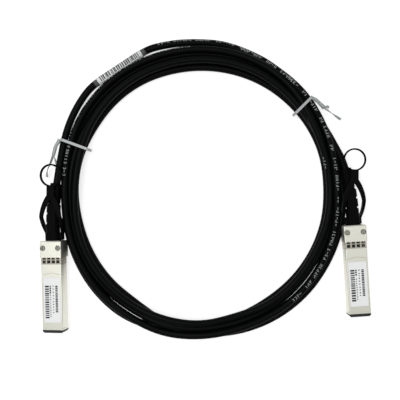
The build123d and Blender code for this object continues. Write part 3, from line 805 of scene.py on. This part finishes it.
def make_camera(scene):
    """The camera of the photo, straight above the coil."""
    data = bpy.data.cameras.new("camera")
    data.lens = CAMERA_LENS
    camera = bpy.data.objects.new("camera", data)
    camera.location = CAMERA_PLACE
    scene.collection.objects.link(camera)
    scene.camera = camera


def floor_material():
    """Matt paper, white where the lamps reach it; seen from below it isn't there."""
    material, shader = blank_material("Matt Paper Sweep")
    tree = material.node_tree
    shader.inputs["Base Color"].default_value = (FLOOR_GREY, FLOOR_GREY, FLOOR_GREY, 1)
    shader.inputs["Roughness"].default_value = 0.9
    shader.inputs["Emission Color"].default_value = (1, 1, 1, 1)
    path = add_node(material, "ShaderNodeLightPath")
    seen = path.outputs["Is Camera Ray"]
    for kind in ("Is Glossy Ray", "Is Transmission Ray"):
        either = add_node(
            material, "ShaderNodeMath", {0: seen, 1: path.outputs[kind]}, operation="MAXIMUM"
        )
        seen = either.outputs[0]
    glow = add_node(material, "ShaderNodeMath", {0: seen, 1: FLOOR_GLOW}, operation="MULTIPLY")
    tree.links.new(glow.outputs[0], shader.inputs["Emission Strength"])
    side = add_node(material, "ShaderNodeNewGeometry")
    clear = add_node(material, "ShaderNodeBsdfTransparent")
    sided = add_node(material, "ShaderNodeMixShader", {"Fac": side.outputs["Backfacing"]})
    tree.links.new(shader.outputs[0], sided.inputs[1])
    tree.links.new(clear.outputs[0], sided.inputs[2])
    tree.links.new(sided.outputs[0], tree.nodes["Material Output"].inputs["Surface"])
    return material


def make_floor():
    """The surface that the object lies on."""
    corners = [
        (u * FLOOR_HALF, v * FLOOR_HALF, -FLOOR_DROP) for u, v in ((-1, -1), (1, -1), (1, 1), (-1, 1))
    ]
    mesh_object("floor", corners, [(0, 1, 2, 3)], floor_material(), smooth=False)


def make_world(scene):
    """Plain light from all round, and white where the camera looks past the floor."""
    world = bpy.data.worlds.new("world")
    world.use_nodes = True
    sky = world.node_tree.nodes["Background"]
    sky.inputs["Color"].default_value = (1, 1, 1, 1)
    path = add_node(world, "ShaderNodeLightPath")
    seen = path.outputs["Is Camera Ray"]
    level = add_node(world, "ShaderNodeMapRange", {"Value": seen, "To Min": WORLD_LEVEL})
    world.node_tree.links.new(level.outputs[0], sky.inputs["Strength"])
    scene.world = world


def make_lamps(scene):
    """Square lamps that face the object."""
    for name, (spot, size, power) in LAMPS.items():
        data = bpy.data.lights.new(name, "AREA")
        data.size = size
        data.energy = power
        lamp = bpy.data.objects.new(name, data)
        lamp.location = spot
        lamp.rotation_euler = (Vector(spot) - Vector(LAMP_AIM)).to_track_quat("Z", "Y").to_euler()
        scene.collection.objects.link(lamp)


class CABLE_OT_stage(bpy.types.Operator):
    """Make the camera, the lamps, the world and the white floor"""

    bl_idname = "cable.stage"
    bl_label = "Stage"

    def execute(self, context):
        make_camera(context.scene)
        make_floor()
        make_world(context.scene)
        make_lamps(context.scene)
        context.scene.view_settings.view_transform = "Standard"
        return {"FINISHED"}


class CABLE_OT_cable(bpy.types.Operator):
    """Draw the cable, its print, its label and sleeve, and the ties"""

    bl_idname = "cable.cable"
    bl_label = "Cable"

    def execute(self, context):
        sizes = context.scene.cable_sizes
        finishes = make_materials(context.scene.cable_colours)
        cable = cable_curve(sizes, finishes["cable_jacket"])
        context.view_layer.update()
        line = cable_line(cable)
        pieces = [jacket_print(line, sizes, finishes["ink"]), *label_pieces(sizes, finishes)]
        for side, tie in TIES.items():
            piece = tie_piece(f"tie_{side}", tie, line[0], sizes, finishes["tie_plastic"])
            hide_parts(f"twist_tie_{side}")
            pieces.append(piece)
        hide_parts("cable_coil", "cable_tail_a", "cable_tail_b")
        for piece in (cable, *pieces):
            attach(piece, "root")
        return {"FINISHED"}


class CABLE_OT_plugs(bpy.types.Operator):
    """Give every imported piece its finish, and print the labels of the plugs"""

    bl_idname = "cable.plugs"
    bl_label = "Plugs"

    def execute(self, context):
        sizes = context.scene.cable_sizes
        finishes = make_materials(context.scene.cable_colours)
        for part in frame["record"]["subparts"]:
            piece = frame["nodes"][part["node"]]
            for slot in piece.material_slots:
                slot.material = finishes[part["material_slot"]]
        for key in PLUGS:
            marks = plug_label_print(key, sizes, finishes["bars"])
            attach(marks, "root")
        return {"FINISHED"}


class CABLE_PT_panel(bpy.types.Panel):
    """The cable's sizes and colours"""

    bl_label = "Cable"
    bl_space_type = "VIEW_3D"
    bl_region_type = "UI"
    bl_category = "Cable"

    def draw(self, context):
        for group in (context.scene.cable_sizes, context.scene.cable_colours):
            for name in group.bl_rna.properties.keys():
                if name not in ("rna_type", "name"):
                    self.layout.prop(group, name)
        for operator in (CABLE_OT_stage, CABLE_OT_cable, CABLE_OT_plugs):
            self.layout.operator(operator.bl_idname)


CLASSES = (CableSizes, CableColours, CABLE_OT_stage, CABLE_OT_cable, CABLE_OT_plugs, CABLE_PT_panel)


def register():
    """Adds the panel, the operators and the settings."""
    for made in CLASSES:
        bpy.utils.register_class(made)
    bpy.types.Scene.cable_sizes = PointerProperty(type=CableSizes)
    bpy.types.Scene.cable_colours = PointerProperty(type=CableColours)


def unregister():
    """Takes them away again."""
    del bpy.types.Scene.cable_sizes
    del bpy.types.Scene.cable_colours
    for made in reversed(CLASSES):
        bpy.utils.unregister_class(made)


def main():
    """Builds the whole scene."""
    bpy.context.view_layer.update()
    register()
    bpy.ops.cable.stage()
    bpy.ops.cable.cable()
    bpy.ops.cable.plugs()


if __name__ == "__main__":
    main()
